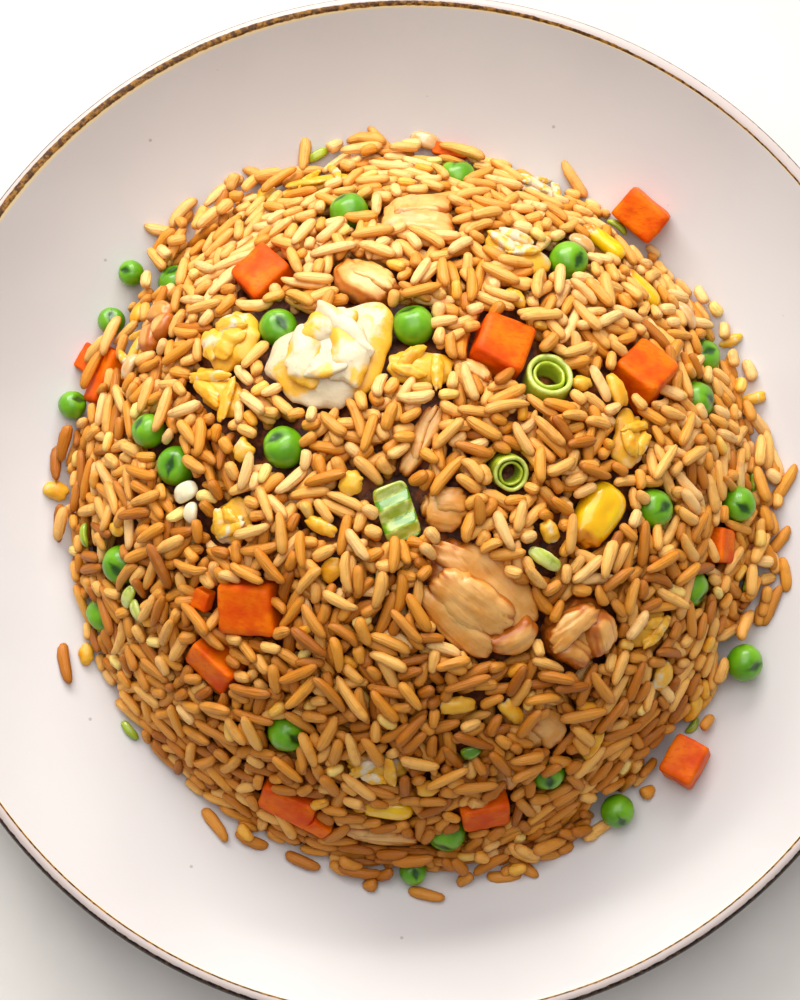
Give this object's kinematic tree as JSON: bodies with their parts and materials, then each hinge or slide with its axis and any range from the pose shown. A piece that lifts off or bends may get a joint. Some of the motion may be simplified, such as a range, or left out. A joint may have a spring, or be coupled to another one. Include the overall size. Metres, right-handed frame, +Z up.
{
  "type": "fried rice plate",
  "caption": "Round coupe plate with a raised curved edge, carrying a domed mound of fried rice with vegetables, egg and chicken.",
  "frame": {"origin": "under the middle of the plate's foot ring, on the surface that the plate stands on", "axes": "+Z up; +Y towards the back of the plate and +X to the right, as the plate is laid before a diner"},
  "size_m": [0.2502, 0.2502, 0.0661],
  "materials": {
    "glaze": "glossy off-white stoneware glaze with a brown edge",
    "rice": "cooked rice grains, browned, with a thin coat of oil",
    "pea": "moist green skin",
    "carrot": "moist cut faces",
    "egg": "soft cooked egg, white and yellow",
    "corn": "moist golden skin",
    "chicken": "browned cooked meat",
    "scallion": "moist green stalk"
  },
  "bodies": {
    "root": {"plate": "glaze", "rice_mound": "rice", "carrot_01": "carrot", "carrot_02": "carrot", "carrot_03": "carrot", "carrot_04": "carrot", "carrot_05": "carrot", "carrot_06": "carrot", "carrot_07": "carrot", "carrot_08": "carrot", "carrot_09": "carrot", "carrot_10": "carrot", "carrot_11": "carrot", "chicken_01": "chicken", "chicken_02": "chicken", "chicken_03": "chicken", "chicken_04": "chicken", "chicken_05": "chicken", "chicken_06": "chicken", "chicken_07": "chicken", "chicken_08": "chicken", "chicken_09": "chicken", "chicken_10": "chicken", "corn_01": "corn", "corn_02": "corn", "corn_03": "corn", "egg_01": "egg", "egg_02": "egg", "egg_03": "egg", "egg_04": "egg", "egg_05": "egg", "egg_06": "egg", "egg_07": "egg", "egg_08": "egg", "egg_09": "egg", "egg_10": "egg", "egg_11": "egg", "egg_12": "egg", "pea_01": "pea", "pea_02": "pea", "pea_03": "pea", "pea_04": "pea", "pea_05": "pea", "pea_06": "pea", "pea_07": "pea", "pea_08": "pea", "pea_09": "pea", "pea_10": "pea", "pea_11": "pea", "pea_12": "pea", "pea_13": "pea", "pea_14": "pea", "pea_15": "pea", "pea_16": "pea", "pea_17": "pea", "pea_18": "pea", "pea_19": "pea", "scallion_01": "scallion", "scallion_02": "scallion", "scallion_03": "scallion"}
  },
  "joints": []
}
